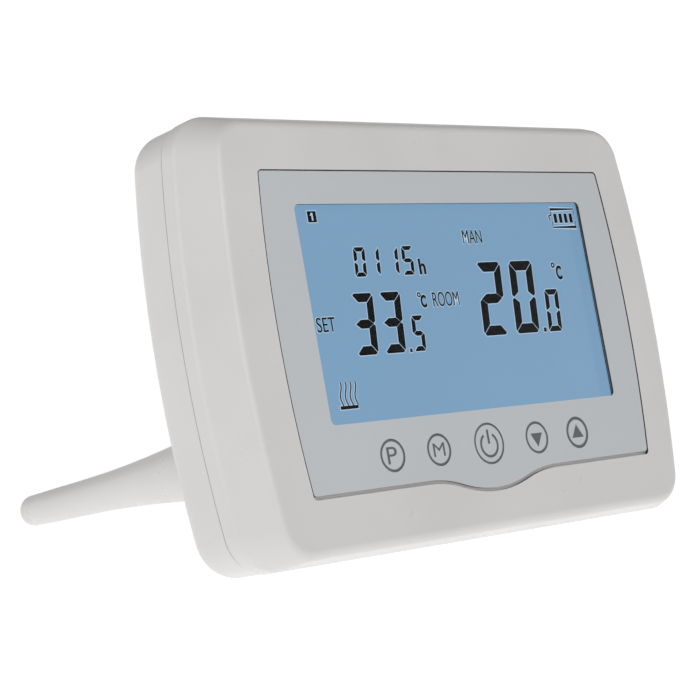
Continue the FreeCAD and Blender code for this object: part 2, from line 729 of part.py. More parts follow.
def rear_tools():
    """What is cut from the rear cover: bay, door seat, hooks, sockets, screws, keyholes and vents."""
    tools = [
        box(
            "bay_inside",
            ("-bay_half_wide", "bay_deep", "bay_centre - bay_half_tall"),
            ("2 * bay_half_wide", "body_depth", "2 * bay_half_tall"),
        ),
        box(
            "door_seat",
            ("-opening_half_wide", "door_face", "bay_centre - opening_half_tall"),
            ("2 * opening_half_wide", "body_depth", "2 * opening_half_tall"),
        ),
    ]
    scoop = doc.addObject("Part::Sphere", "finger_scoop")
    scoop.setExpression("Radius", bind("nail_radius"))
    place(scoop, ("0", "body_depth + nail_radius - nail_deep", "bay_centre + opening_half_tall"))
    tools.append(scoop)
    for side, sign in SIDES.items():
        tools.append(
            centred_box(
                f"hook_notch_{side}",
                (f"{sign} * hook_x", "hook_deep - 2 * notch_gap", "bay_centre - bay_half_tall - bay_wall / 2"),
                ("2 * (hook_half + notch_gap)", "door_face - hook_deep + 2 * notch_gap", "bay_wall + 0.4"),
            )
        )
        tools.append(
            rod(
                f"socket_bore_{side}",
                (f"{sign} * leg_x", "body_depth - spigot_long - end_spare", "-leg_low"),
                "spigot_radius + spigot_gap", "spigot_long + 5",
            )
        )
        tools += keyhole(side, sign)
    for number, (across, up) in enumerate(CORNERS):
        x, z = f"{across} * cover_screw_x", f"{up} * cover_screw_z"
        tools.append(rod(f"head_bore_{number}", (x, "head_seat", z), "cover_head + head_gap", "body_depth"))
        tools.append(rod(f"shank_hole_{number}", (x, "seam - 1", z), "cover_screw + shank_gap", "head_seat"))
    for number, low in enumerate(("body_top - wall - 2", "-body_low - 1")):
        for slot in range(int(size("vent_count"))):
            tools.append(
                box(
                    f"vent_{number}_{slot}",
                    (f"({slot} - (vent_count - 1) / 2) * vent_pitch - vent_wide / 2", "vent_front", low),
                    ("vent_wide", "vent_back - vent_front", "wall + 3"),
                )
            )
    return tools


def keyhole(side, sign):
    """A round entry for a screw's head with a slot above it for the neck."""
    x = f"{sign} * wall_pitch / 2"
    start = "body_depth - wall - 1"
    return [
        rod(f"keyhole_entry_{side}", (x, start, "keyhole_z"), "head_hole", "wall + 2"),
        rod(f"keyhole_end_{side}", (x, start, "keyhole_z + neck_rise"), "neck_hole", "wall + 2"),
        box(
            f"keyhole_slot_{side}", (f"{x} - neck_hole", start, "keyhole_z"),
            ("2 * neck_hole", "wall + 2", "neck_rise"),
        ),
    ]


def make_battery_door():
    """The door's plate lies in its seat; two hooks reach under the rim at its lower edge."""
    low = "bay_centre - opening_half_tall + door_gap"
    pieces = [
        box(
            "door_plate", ("-opening_half_wide + door_gap", "door_face + 0.05", low),
            ("2 * (opening_half_wide - door_gap)", "door_thick - 0.05", "2 * (opening_half_tall - door_gap)"),
        )
    ]
    for side, sign in SIDES.items():
        x = f"{sign} * hook_x - hook_half"
        pieces.append(
            box(
                f"hook_neck_{side}", (x, "hook_deep", low),
                ("2 * hook_half", "door_face - hook_deep + 0.5", "hook_drop"),
            )
        )
        pieces.append(
            box(
                f"hook_tip_{side}", (x, "hook_deep", f"{low} - hook_reach"),
                ("2 * hook_half", "hook_thick", "hook_reach + hook_drop / 2"),
            )
        )
    return keep("battery_door", fuse("battery_door", pieces))


# --- faceplate, window and keys ---


def make_faceplate():
    outline = bowed_outline(
        "plate_line", "plate_sunk", "plate_half", "plate_tall", "plate_tall", "plate_corner", "0"
    )
    tools = [rounded_window("plate_window", "plate_sunk - 1", "plate_thick + 2")]
    for key, (across, radius) in KEYS.items():
        tools.append(
            rod(
                f"plate_hole_{key}", (across, "plate_sunk - 1", "-key_low"), f"{radius} + key_gap",
                "plate_thick + 2",
            )
        )
    return keep("faceplate", cut("faceplate", extrude("plate_solid", outline, "plate_thick"), tools))


def make_faceplate_tape():
    outline = bowed_outline(
        "tape_line", "plate_back", "plate_half - tape_inset", "plate_tall - tape_inset",
        "plate_tall - tape_inset", "plate_corner", "-tape_inset",
    )
    tools = [window("tape_window", "-1", "lens_margin + lens_gap", "front_wall + 2")]
    for key, (across, radius) in KEYS.items():
        tools.append(
            rod(
                f"tape_hole_{key}", (across, "-1", "-key_low"), f"{radius} + key_gap + tape_key_gap",
                "front_wall + 2",
            )
        )
    return keep("faceplate_tape", cut("faceplate_tape", extrude("tape_solid", outline, "tape_thick"), tools))


def make_display_window():
    return keep("display_window", window("display_window", "plate_back", "lens_margin", "lens_thick"))


def make_keys():
    for key, (across, radius) in KEYS.items():
        flange = "(front_wall + key_rest)"
        cap = turned(
            f"key_{key}",
            [
                ("plate_sunk", "0"),
                ("plate_sunk", f"{radius} - key_crown"),
                ("plate_sunk + key_crown", radius),
                (flange, radius),
                (flange, f"{radius} + key_flange"),
                (f"{flange} + flange_thick", f"{radius} + key_flange"),
                (f"{flange} + flange_thick", "stem_radius"),
                ("plunger_tip", "stem_radius"),
                ("plunger_tip", "0"),
            ],
        )
        keep(f"key_{key}", cap, across, "0", "-key_low")
        plunger = rod(
            f"plunger_{key}", (across, "plunger_tip", "-key_low"), "plunger_radius",
            "plunger_out + plunger_in",
        )
        keep(f"plunger_{key}", plunger)


def make_switch_bodies():
    solids = []
    for key, (across, _) in KEYS.items():
        block = centred_box(
            f"switch_block_{key}", (across, "switch_face", "-key_low"),
            ("switch_wide", "switch_tall", "switch_wide"),
        )
        well = rod(
            f"switch_well_{key}", (across, "switch_face - 1", "-key_low"), "plunger_radius + key_gap",
            "plunger_in + key_travel + switch_spare + 1",
        )
        solids.append(cut(f"switch_{key}", block, [well]))
    return keep("switch_bodies", group("switch_bodies", solids))


# --- display stack ---


def lcd_block(name, depth, grow, thick):
    """A block over the display glass, grown by a margin all round."""
    return box(
        name,
        (f"-lcd_half - ({grow})", depth, f"lcd_low - ({grow})"),
        (f"2 * (lcd_half + ({grow}))", thick, f"lcd_top - lcd_low + 2 * ({grow})"),
    )


def make_display_stack():
    gasket = cut(
        "display_gasket", lcd_block("gasket_block", "front_wall", "0", "gasket_thick"),
        [window("gasket_opening", "front_wall - 1", "lens_margin + lens_gap", "gasket_thick + 2")],
    )
    keep("display_gasket", gasket)
    keep("lcd_panel", lcd_block("lcd_panel", "lcd_face", "0", "lcd_thick"))

    guide_low = "(strip_low + strip_thick + 0.3)"
    guide_top = "(lcd_top - led_thick - 0.1)"
    guide = box(
        "backlight_guide", ("-lcd_half", "lcd_back", guide_low),
        ("2 * lcd_half", "guide_thick", f"{guide_top} - {guide_low}"),
    )
    keep("backlight_guide", guide)
    leds = [
        centred_box(
            f"led_{place_}", (f"{place_ - 1} * led_pitch", "lcd_back + 0.3", "lcd_top - led_thick / 2"),
            ("led_wide", "guide_thick - 0.6", "led_thick"),
        )
        for place_ in range(3)
    ]
    keep("backlight_leds", group("backlight_leds", leds))

    strip = box(
        "contact_strip", ("-strip_half", "lcd_back", "strip_low"),
        ("2 * strip_half", "board_face - lcd_back", "strip_thick"),
    )
    keep("contact_strip", strip)
    holder = cut(
        "lcd_holder",
        lcd_block("holder_block", "holder_start", "holder_gap + holder_wall", "board_face - holder_start"),
        [
            lcd_block("holder_inside", "holder_start - 1", "holder_gap", "guide_back - holder_start + 1"),
            box(
                "strip_slot", ("-strip_half - 0.1", "board_face - 4", "strip_low - 0.1"),
                ("2 * strip_half + 0.2", "5", "strip_thick + 0.2"),
            ),
        ],
    )
    keep("lcd_holder", holder)


# --- main board and what is on it ---


def make_main_board():
    block = box(
        "board_block", ("-board_half", "board_face", "-board_bottom"),
        ("2 * board_half", "board_thick", "board_top + board_bottom"),
    )
    holes = [
        rod(
            f"board_hole_{number}", (f"{across} * board_screw_x", "board_face - 1", board_screw_height(up)),
            "board_screw + shank_gap", "board_thick + 2",
        )
        for number, (across, up) in enumerate(CORNERS)
    ]
    return keep("main_board", cut("main_board", block, holes))


def cross_screw(name, x, seat, z, head, head_tall, thread, thread_long):
    """A pan-head screw seen from the back, its point forwards, with a cross in its head."""
    blank = fuse(
        name + "_blank",
        [
            rod(name + "_head", (x, seat, z), head, head_tall),
            rod(name + "_thread", (x, f"{seat} - {thread_long}", z), thread, f"{thread_long} + 0.2"),
        ],
    )
    arms = []
    for arm, (wide, tall) in enumerate(((f"1.3 * {head}", "0.5"), ("0.5", f"1.3 * {head}"))):
        arms.append(
            centred_box(f"{name}_arm_{arm}", (x, f"{seat} + {head_tall} / 3", z), (wide, head_tall, tall))
        )
    return cut(name, blank, arms)


def make_screws():
    board = []
    cover = []
    for number, (across, up) in enumerate(CORNERS):
        board.append(
            cross_screw(
                f"board_screw_{number}", f"{across} * board_screw_x", "board_back", board_screw_height(up),
                "board_head", "board_head_tall", "board_screw", "(board_thick + board_screw_long)",
            )
        )
        cover.append(
            cross_screw(
                f"cover_screw_{number}", f"{across} * cover_screw_x", "head_seat", f"{up} * cover_screw_z",
                "cover_head", "cover_head_tall", "cover_screw", "cover_screw_long",
            )
        )
    keep("board_screws", group("board_screws", board))
    keep("cover_screws", group("cover_screws", cover))


# Boxes on the back of the board, as (middle x, middle z, width, depth, height)
CHIPS = {
    "microcontroller": ("4", "-14", "12", "1.4", "12"),
    "crystal": ("18", "-9", "10.5", "3.4", "4.2"),
    "radio_module": ("-24", "-14.5", "20", "0.8", "15"),
}


def make_board_parts():
    for name, (x, z, wide, deep, tall) in CHIPS.items():
        keep(name, centred_box(name, (x, "board_back", z), (wide, deep, tall)))
    x, z, _, deep, _ = CHIPS["radio_module"]
    shield = centred_box("radio_shield", (f"{x} + 2", f"board_back + {deep}", z), ("12", "1.8", "11"))
    keep("radio_shield", shield)
    antenna = coil(
        "antenna_coil", (f"{x} - 9", f"board_back + {deep} + 2.6", f"{z} - 10.6"), "2.2", "0.3", "18", "7"
    )
    keep("antenna_coil", antenna)
    cans = [
        rod(f"capacitor_{number}", ("30", "board_back", f"-8 - {number} * 7"), "2.5", "6")
        for number in range(2)
    ]
    keep("capacitors", group("capacitors", cans))
    chips = [
        centred_box(f"resistor_{number}", (f"-6 + {number} * 3.2", "board_back", "-25"), ("2", "0.6", "1.25"))
        for number in range(6)
    ]
    keep("resistors", group("resistors", chips))
    bead = doc.addObject("Part::Sphere", "sensor_bead")
    bead.setExpression("Radius", "1.4")
    place(bead, ("10", "board_back + 5.5", "-33"))
    leads = [
        rod(f"sensor_lead_{side}", (f"10 + {sign} * 0.7", "board_back", "-33"), "0.25", "5.5")
        for side, sign in SIDES.items()
    ]
    keep("temperature_sensor", fuse("temperature_sensor", [bead] + leads))


# --- batteries and their contacts ---


def make_batteries():
    """Two cells side by side, turned opposite ways; each has a spring at its flat end."""
    cells = {"lower": ("-1", "1"), "upper": ("1", "-1")}
    face = "(bay_half_wide - contact_thick)"
    springs = []
    for name, (row_, way) in cells.items():
        z = f"bay_centre + {row_} * cell_off"
        if way == "1":
            can_start, nub_start = f"{face} - cell_long", f"{face} - nub_long - 0.2"
            spring_start = f"-{face}"
        else:
            can_start, nub_start = f"-{face} + nub_long", f"-{face}"
            spring_start = f"{face} - spring_long"
        cell = fuse(
            f"battery_{name}",
            [
                bar(f"can_{name}", (can_start, "cell_deep", z), "cell_radius", "cell_long - nub_long"),
                bar(f"nub_{name}", (nub_start, "cell_deep", z), "nub_radius", "nub_long + 0.2"),
            ],
        )
        keep(f"battery_{name}", cell)
        springs.append(
            coil(
                f"spring_{name}", (spring_start, "cell_deep", z), "spring_radius", "spring_wire",
                "spring_long", "spring_turns",
            )
        )
    keep("battery_springs", group("battery_springs", springs))

    plate = ("contact_thick", "7", "8")
    plates = [
        centred_box(
            f"contact_{name}",
            (f"-{face} - contact_thick / 2", "cell_deep - 3.5", f"bay_centre + {row_} * cell_off"), plate,
        )
        for name, (row_, _) in cells.items()
    ]
    plates.append(
        centred_box(
            "contact_bridge", (f"{face} + contact_thick / 2", "cell_deep - 3.5", "bay_centre"),
            ("contact_thick", "7", "8 + 2 * cell_off"),
        )
    )
    keep("battery_contacts", group("battery_contacts", plates))


# --- legs ---


def make_leg(side, sign):
    """A plug, a trumpet flare, a slightly tapered shank and a round end, all turned about one axis."""
    body, sketch = turned_body(f"leg_{side}")
    long_, flare, rounding = size("leg_long"), size("leg_flare"), size("leg_round")
    root, waist, tip = size("leg_root"), size("leg_waist"), size("leg_tip")
    spigot, plug = size("spigot_radius"), size("spigot_long")

    taper = math.atan2(waist - tip, long_ - rounding - flare)
    # The flare is one arc that leaves the shank smoothly and ends on the root's radius.
    rise = root - waist - flare * math.tan(taper)
    chord = math.hypot(flare, root - waist)
    lift = math.atan2(root - waist, flare) - taper
    radius = chord / (2 * math.sin(lift))
    centre = (flare + radius * math.sin(taper), waist + radius * math.cos(taper))
    if rise <= 0:
        raise ValueError("the leg's root has to be wider than its tapered shank would be there")

    axis = line(sketch, (-plug, 0), (long_, 0))
    end = line(sketch, (long_, 0), (long_, tip - rounding))
    tip_round = arc(sketch, (long_ - rounding, tip - rounding), rounding, 0, 90)
    shank = line(sketch, (long_ - rounding, tip), (flare, waist))
    start_angle = math.degrees(math.atan2(root - centre[1], -centre[0]))
    end_angle = math.degrees(math.atan2(waist - centre[1], flare - centre[0]))
    flare_arc = arc(sketch, centre, radius, start_angle % 360, end_angle % 360)
    shoulder = line(sketch, (0, root), (0, spigot))
    plug_side = line(sketch, (0, spigot), (-plug, spigot))
    plug_end = line(sketch, (-plug, spigot), (-plug, 0))

    joints = [
        (axis, 2, end, 1), (end, 2, tip_round, 1), (tip_round, 2, shank, 1),
        (flare_arc, 1, shoulder, 1), (shoulder, 2, plug_side, 1), (plug_side, 2, plug_end, 1),
        (plug_end, 2, axis, 1),
    ]
    for joint in joints:
        sketch.addConstraint(Sketcher.Constraint("Coincident", *joint))
    sketch.addConstraint(Sketcher.Constraint("Tangent", shank, 2, flare_arc, 2))
    dimension(sketch, "Radius", (tip_round,), "leg_round")
    pin_point(sketch, end, 1, "leg_long", "0")
    pin_point(sketch, tip_round, 1, "leg_long", "leg_tip - leg_round")
    pin_point(sketch, shank, 1, "leg_long - leg_round", "leg_tip")
    pin_point(sketch, flare_arc, 2, "leg_flare", "leg_waist")
    pin_point(sketch, shoulder, 1, "0", "leg_root")
    pin_point(sketch, plug_side, 1, "0", "spigot_radius")
    pin_point(sketch, plug_end, 1, "-spigot_long", "spigot_radius")
    pin_point(sketch, axis, 1, "-spigot_long", "0")
    revolve(body, sketch)
    return keep(f"leg_{side}", body, f"{sign} * leg_x", "body_depth + leg_seat", "-leg_low")


# --- the whole object ---


def stand_up():
    """Leans every sub-part back and sets the origin under the middle of the object, on the table."""
    doc.recompute()
    tilt = FreeCAD.Rotation(VECTOR(1, 0, 0), -size("lean"))

    def put(base):
        for item, own in subparts.values():
            item.Placement = FreeCAD.Placement(base + tilt.multVec(own), tilt)
        doc.recompute()

    put(VECTOR(0, 0, 0))
    whole = FreeCAD.BoundBox()
    for item, _ in subparts.values():
        whole.add(item.Shape.optimalBoundingBox(False, False))
    put(VECTOR(-whole.Center.x, -whole.Center.y, -whole.ZMin))


def check_and_export():
    for item in doc.Objects:
        if "Invalid" in item.State or "Error" in item.State:
            raise RuntimeError(f"{item.Name} is {item.State}")
    for name, (item, _) in subparts.items():
        if item.Shape.isNull() or not item.Shape.isValid() or not item.Shape.Solids:
            raise RuntimeError(f"{name} has no valid shape")
    os.makedirs("parts", exist_ok=True)
    for name, (item, _) in subparts.items():
        item.Shape.exportStep(f"parts/{name}.step")


def main():
    make_front_cover()
    make_rear_cover()
    make_battery_door()
    make_faceplate()
    make_faceplate_tape()
    make_display_window()
    make_keys()
    make_switch_bodies()
    make_display_stack()
    make_main_board()
    make_screws()
    make_board_parts()
    make_batteries()
    for side, sign in SIDES.items():
        make_leg(side, sign)
    stand_up()
    check_and_export()


main()
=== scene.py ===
"""A room thermostat that leans back on two desk legs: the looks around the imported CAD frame.

Panel coordinates: X to the right, Y into the housing and Z up the leaning panel, in metres from the row
frame's origin. What is printed or displayed is laid out in millimetres from the middle of the display
window or of a key cap, so it moves and leans with the CAD parts that carry it.
"""
import json
import math

import bmesh
import bpy
import numpy as np
from mathutils import Matrix, Vector


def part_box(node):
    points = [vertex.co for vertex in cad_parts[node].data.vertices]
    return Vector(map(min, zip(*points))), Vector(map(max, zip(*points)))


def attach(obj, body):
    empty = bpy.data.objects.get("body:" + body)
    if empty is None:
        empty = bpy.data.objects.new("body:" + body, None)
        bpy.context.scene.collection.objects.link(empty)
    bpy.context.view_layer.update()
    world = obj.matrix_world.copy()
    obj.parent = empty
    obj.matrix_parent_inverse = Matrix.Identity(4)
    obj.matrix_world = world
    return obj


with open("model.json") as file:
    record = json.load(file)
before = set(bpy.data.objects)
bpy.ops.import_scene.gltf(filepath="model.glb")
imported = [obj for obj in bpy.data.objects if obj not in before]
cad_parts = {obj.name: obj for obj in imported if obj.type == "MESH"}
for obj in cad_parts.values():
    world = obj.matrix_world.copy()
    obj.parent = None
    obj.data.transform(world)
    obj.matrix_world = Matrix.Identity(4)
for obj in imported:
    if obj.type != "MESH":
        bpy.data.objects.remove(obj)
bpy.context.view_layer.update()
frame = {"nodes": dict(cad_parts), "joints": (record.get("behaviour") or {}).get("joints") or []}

MM = 0.001
CAP_FRONT = 0.2 * MM  # a key's cap, but not its flange, reaches this close to its front
NODES = frame["nodes"]

# ---------------------------------------------------------------- panel coordinates
press = next(joint for joint in frame["joints"] if joint["name"] == "power_key_press")
BACK = Vector(press["axis"]).normalized()
RIGHT = Vector((1, 0, 0))
UP = RIGHT.cross(BACK)
TO_PANEL = Matrix((RIGHT, BACK, UP))
TO_WORLD = TO_PANEL.transposed()


def panel_corners(node):
    """Every corner of a CAD node in panel coordinates."""
    return np.array([v.co for v in NODES[node].data.vertices]) @ np.array(TO_WORLD)


def measured(node):
    """Lowest and highest corner of a CAD node in panel coordinates."""
    corners = panel_corners(node)
    return Vector(corners.min(0)), Vector(corners.max(0))


def middle_and_front(node):
    """The middle of a CAD node's front face."""
    low, high = measured(node)
    return Vector(((low.x + high.x) / 2, low.y, (low.z + high.z) / 2))


def cap_radius(node):
    """Radius of a key's cap in millimetres, from the corners at its front; its flange is further back."""
    corners = panel_corners(node)
    cap = corners[corners[:, 1] < corners[:, 1].min() + CAP_FRONT]
    return np.ptp(cap[:, 0]) / 2 / MM


# ---------------------------------------------------------------- materials
def principled(name, color, rough, **more):
    """A new material and its Principled node, with every uniform value on the shader's own sockets."""
    made = bpy.data.materials.new(name)
    made.use_nodes = True
    made.diffuse_color = (*color, 1)
    shader = made.node_tree.nodes["Principled BSDF"]
    shader.inputs["Base Color"].default_value = (*color, 1)
    shader.inputs["Roughness"].default_value = rough
    for socket, value in more.items():
        shader.inputs[socket.replace("_", " ")].default_value = value
    return made, made.node_tree, shader


def noise(tree, scale, detail=2.0, stretch=(1, 1, 1)):
    """Noise over the row frame's coordinates: scale is features per metre."""
    where = tree.nodes.new("ShaderNodeTexCoord")
    mapping = tree.nodes.new("ShaderNodeMapping")
    mapping.inputs["Scale"].default_value = stretch
    texture = tree.nodes.new("ShaderNodeTexNoise")
    texture.inputs["Scale"].default_value = scale
    texture.inputs["Detail"].default_value = detail
    tree.links.new(where.outputs["Object"], mapping.inputs["Vector"])
    tree.links.new(mapping.outputs["Vector"], texture.inputs["Vector"])
    return texture.outputs["Fac"]


def spread(tree, value, low, high):
    """Noise mapped to a range of numbers."""
    ranged = tree.nodes.new("ShaderNodeMapRange")
    ranged.inputs["From Min"].default_value = 0.3
    ranged.inputs["From Max"].default_value = 0.7
    ranged.inputs["To Min"].default_value = low
    ranged.inputs["To Max"].default_value = high
    tree.links.new(value, ranged.inputs["Value"])
    return ranged.outputs["Result"]


def two_tone(tree, value, first, second):
    """A colour between two, by a number from 0 to 1."""
    mix = tree.nodes.new("ShaderNodeMix")
    mix.data_type = "RGBA"
    mix.inputs["A"].default_value = (*first, 1)
    mix.inputs["B"].default_value = (*second, 1)
    tree.links.new(value, mix.inputs["Factor"])
    return mix.outputs["Result"]


def relief(tree, shader, layers):
    """Bumps of several sizes, each (height, strength, depth in metres), one on top of the other."""
    normal = None
    for height, strength, depth in layers:
        bump = tree.nodes.new("ShaderNodeBump")
        bump.inputs["Strength"].default_value = strength
        bump.inputs["Distance"].default_value = depth
        tree.links.new(height, bump.inputs["Height"])
        if normal:
            tree.links.new(normal, bump.inputs["Normal"])
        normal = bump.outputs["Normal"]
    tree.links.new(normal, shader.inputs["Normal"])


# Features per metre of what a moulding shows: cloudy colour, uneven sheen and shallow flow marks.
CLOUDS, SHEEN, FLOW_MARKS = 35, 120, 28
FLOW_DEPTH = 0.00004


def moulded(name, color, rough, grain=2600, grain_depth=0.000012, tone=0.03, **more):
    """Moulded plastic: spark-eroded grain, faint flow marks and a slightly uneven sheen."""
    made, tree, shader = principled(name, color, rough, **more)
    darker = tuple(c * (1 - tone) for c in color)
    lighter = tuple(min(1, c * (1 + tone)) for c in color)
    cloud = spread(tree, noise(tree, CLOUDS, 3), 0, 1)
    tree.links.new(two_tone(tree, cloud, darker, lighter), shader.inputs["Base Color"])
    sheen = spread(tree, noise(tree, SHEEN, 4), rough * 0.9, rough * 1.12)
    tree.links.new(sheen, shader.inputs["Roughness"])
    fine = noise(tree, grain, 2), 0.35, grain_depth
    flow = noise(tree, FLOW_MARKS, 1), 0.5, FLOW_DEPTH
    relief(tree, shader, [fine, flow])
    return made


WHITE = (0.64, 0.63, 0.622)
GREY = (0.52, 0.545, 0.565)
PRINT = (0.105, 0.112, 0.116)
LCD_GLOW = (0.187, 0.337, 0.501)
HALO_GLOW = (0.42, 0.56, 0.70)

white = moulded("white_plastic", WHITE, 0.3)
panel_grey = moulded("panel_grey", GREY, 0.42, grain=4200, grain_depth=0.000006, tone=0.012)
print_grey = moulded("print_grey", PRINT, 0.5, tone=0.05)
black = moulded("black_plastic", (0.02, 0.02, 0.021), 0.45)
milky = moulded("milky_plastic", (0.78, 0.82, 0.86), 0.3)
foam = moulded("foam", (0.012, 0.012, 0.013), 0.9, grain=1800, grain_depth=0.00008)
rubber = moulded("grey_rubber", (0.07, 0.07, 0.075), 0.65)
tape = moulded("tape", (0.62, 0.6, 0.52), 0.6)
board = moulded("board_green", (0.012, 0.11, 0.045), 0.38)
LENS_INDEX = 1.2  # stands for an anti-reflective coat
clear, _, _ = principled("clear_lens", (1, 1, 1), 0.02, Transmission_Weight=1.0, IOR=LENS_INDEX)

SCRATCHES = 900  # per metre, across the direction of drawing
SCRATCH_DEPTH = 0.00001


def metal(name, color, rough, along=(1, 1, 1)):
    """Plated or drawn metal with fine scratches along one direction."""
    made, tree, shader = principled(name, color, rough, Metallic=1.0)
    scratches = noise(tree, SCRATCHES, 3, along)
    tree.links.new(spread(tree, scratches, rough * 0.7, rough * 1.4), shader.inputs["Roughness"])
    relief(tree, shader, [(scratches, 0.4, SCRATCH_DEPTH)])
    return made


steel = metal("steel", (0.6, 0.6, 0.58), 0.32, (1, 0.1, 1))
spring_steel = metal("spring_steel", (0.72, 0.72, 0.7), 0.22)
can_metal = metal("can_metal", (0.68, 0.68, 0.7), 0.3, (0.05, 1, 1))
copper = metal("copper_wire", (0.72, 0.32, 0.12), 0.28, (1, 0.2, 1))


def glowing(name, glow, dark, rough):
    """A backlit surface: it glows evenly, with the faint unevenness of a light guide."""
    made, tree, shader = principled(name, dark, rough, Emission_Strength=1.0, Specular_IOR_Level=0.1)
    dim = tuple(c * 0.985 for c in glow)
    bright = tuple(c * 1.015 for c in glow)
    cloud = spread(tree, noise(tree, 22, 1), 0, 1)
    tree.links.new(two_tone(tree, cloud, dim, bright), shader.inputs["Emission Color"])
    relief(tree, shader, [(noise(tree, 3000, 1), 0.1, 0.000002)])
    return made


lcd_blue = glowing("lcd_blue", LCD_GLOW, (0.01, 0.018, 0.03), 0.3)
lcd_halo = glowing("lcd_halo", HALO_GLOW, (0.02, 0.03, 0.04), 0.3)
lcd_ink = moulded("lcd_ink", (0.001, 0.002, 0.0025), 0.5, tone=0.1, Specular_IOR_Level=0.05)


BARE_METAL = (0.55, 0.55, 0.54)
DARK_BAND = (0.02, 0.022, 0.026)
AMBER_LINE = (0.5, 0.24, 0.03)
PALE_BODY = (0.16, 0.165, 0.17)
JACKET = [  # share of the cell's length, colour from there on
    (0.0, BARE_METAL), (0.045, DARK_BAND), (0.34, AMBER_LINE), (0.37, PALE_BODY),
    (0.93, DARK_BAND), (0.975, BARE_METAL),
]


def cell_jacket(node, terminal):
    """A battery: bare metal at both ends, and between them a dark band, an amber line and a pale body."""
    low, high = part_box(node)
    made, tree, shader = principled("jacket_" + node, (0.3, 0.3, 0.3), 0.3)
    where = tree.nodes.new("ShaderNodeTexCoord")
    parts = tree.nodes.new("ShaderNodeSeparateXYZ")
    tree.links.new(where.outputs["Object"], parts.inputs["Vector"])
    ranged = tree.nodes.new("ShaderNodeMapRange")
    start, end = (low.x, high.x) if terminal < 0 else (high.x, low.x)
    ranged.inputs["From Min"].default_value = start
    ranged.inputs["From Max"].default_value = end
    tree.links.new(parts.outputs["X"], ranged.inputs["Value"])
    ramp = tree.nodes.new("ShaderNodeValToRGB")
    ramp.color_ramp.interpolation = "CONSTANT"
    while len(ramp.color_ramp.elements) < len(JACKET):
        ramp.color_ramp.elements.new(0.5)
    for element, (at, color) in zip(ramp.color_ramp.elements, JACKET):
        element.position = at
        element.color = (*color, 1)
    tree.links.new(ranged.outputs["Result"], ramp.inputs["Fac"])
    tree.links.new(ramp.outputs["Color"], shader.inputs["Base Color"])
    shader.inputs["Metallic"].default_value = 0.55
    relief(tree, shader, [(noise(tree, 400, 2), 0.15, 0.00001)])
    return made


FINISH = {
    "front_cover": white, "rear_cover": white, "battery_door": white, "leg_left": white, "leg_right": white,
    "faceplate": panel_grey, "faceplate_tape": tape, "display_window": clear,
    "switch_bodies": black, "display_gasket": foam, "lcd_panel": lcd_blue, "backlight_guide": milky,
    "backlight_leds": milky, "contact_strip": rubber, "lcd_holder": milky, "main_board": board,
    "board_screws": steel, "cover_screws": steel, "microcontroller": black, "crystal": can_metal,
    "radio_module": board, "radio_shield": can_metal, "antenna_coil": copper, "capacitors": can_metal,
    "resistors": black, "temperature_sensor": black,
    "battery_lower": cell_jacket("battery_lower", 1), "battery_upper": cell_jacket("battery_upper", -1),
    "battery_springs": spring_steel, "battery_contacts": spring_steel,
}
KEYS = ["program", "mode", "power", "down", "up"]
for key in KEYS:
    FINISH["key_" + key] = panel_grey
    FINISH["plunger_" + key] = black
for node, finish in FINISH.items():
    for material_slot in NODES[node].material_slots:
        material_slot.material = finish


# The cosine of the angle between a corner's normal and its face: below the first it strays, above the
# second it is one that the corner beside it can take over.
STRAYS, AGREES = 0.6, 0.8


def mend_shading(node):
    """Turns shading normals that stray far from their face back to those of the faces beside it."""
    mesh = NODES[node].data
    normals = [Vector(corner.vector) for corner in mesh.corner_normals]
    meeting = {}
    for loop in mesh.loops:
        meeting.setdefault(loop.vertex_index, []).append(loop.index)
    mended = [normal.copy() for normal in normals]
    for face in mesh.polygons:
        for corner in face.loop_indices:
            if normals[corner].dot(face.normal) < STRAYS:
                near = [normals[i] for i in meeting[mesh.loops[corner].vertex_index]
                        if normals[i].dot(face.normal) > AGREES]
                mended[corner] = sum(near, Vector()).normalized() if near else face.normal.copy()
    mesh.normals_split_custom_set(mended)


for node in ("front_cover", "rear_cover"):
    mend_shading(node)


# ---------------------------------------------------------------- painted shade: the dark line round the faceplate
# Painted shade: a near-black colour for the walls in the narrow gap round the faceplate, standing in for the
# shade that falls there.
painted_gap_shade = moulded("painted_gap_shade", (0.05, 0.052, 0.054), 0.55, tone=0.05)
WALL_LEAN = 0.5  # a face is a wall while its normal has less than this of the panel's direction


def paint_shade_on_walls(node, depth):
    """Paints a node's walls round the faceplate, from the front down to a depth, near-black as painted shade
    in the gap.
    """
    low, high = measured("faceplate")
    mesh = NODES[node].data
    mesh.materials.append(painted_gap_shade)
    dark = len(mesh.materials) - 1
    for face in mesh.polygons:
        middle = TO_PANEL @ face.center
        beside = low.x - MM < middle.x < high.x + MM and low.z - MM < middle.z < high.z + MM
        if beside and middle.y < depth and abs((TO_PANEL @ face.normal).y) < WALL_LEAN:
            face.material_index = dark


# Painted shade on the faceplate's own edge walls and on the front cover's recess walls round it.
paint_shade_on_walls("faceplate", measured("faceplate")[1].y)
paint_shade_on_walls("front_cover", measured("faceplate_tape")[1].y)


# ---------------------------------------------------------------- flat shapes, in millimetres
SHARPEST = 0.5  # at a sharper turn than this (a cosine) a ribbon's corner is cut short


def ribbon(points, width, closed=False):
    """Quads that follow a line of points at a constant width."""
    count = len(points)
    sides = []
    for i, (x, z) in enumerate(points):
        before = points[i - 1] if closed or i else points[i]
        after = points[(i + 1) % count] if closed or i < count - 1 else points[i]
        along = Vector((after[0] - before[0], after[1] - before[1])).normalized()
        reach = width / 2
        if before != points[i] != after:
            first = Vector((x - before[0], z - before[1])).normalized()
            reach /= max(SHARPEST, abs(first.dot(along)))
        across, rise = along.y * reach, along.x * reach
        sides.append(((x - across, z + rise), (x + across, z - rise)))
    pairs = list(zip(sides, sides[1:] + sides[:1] if closed else sides[1:]))
    return [[a, c, d, b] for (a, b), (c, d) in pairs]


